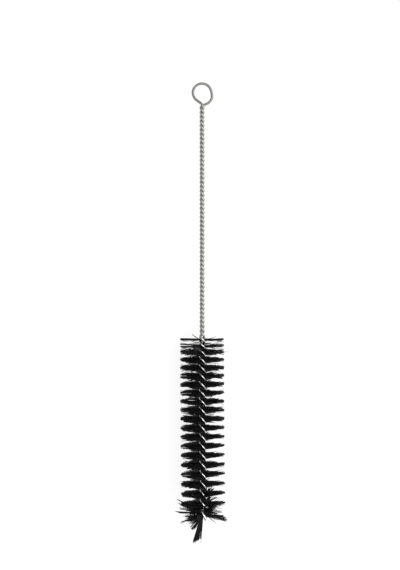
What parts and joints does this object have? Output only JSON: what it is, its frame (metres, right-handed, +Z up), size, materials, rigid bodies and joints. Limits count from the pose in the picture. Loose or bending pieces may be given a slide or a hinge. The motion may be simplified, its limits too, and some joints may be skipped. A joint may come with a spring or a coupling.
{
  "type": "bottle brush",
  "caption": "Straight wire bottle brush with a hanging eye, a twisted wire handle and a cylindrical head of black nylon bristles ending in a loose tip tuft.",
  "frame": {"origin": "middle of the brush's length and width, on the surface that it lies on", "axes": "+Y along the brush towards the hanging eye, +Z up, +X to the right with the eye away from the viewer"},
  "size_m": [0.0331, 0.3044, 0.0382],
  "materials": {
    "wire": "bright drawn wire",
    "bristle": "black nylon filament with a faint sheen"
  },
  "bodies": {
    "root": {"twisted_wire": "wire", "bristle_spiral": "bristle", "tip_tuft": "bristle"}
  },
  "joints": []
}
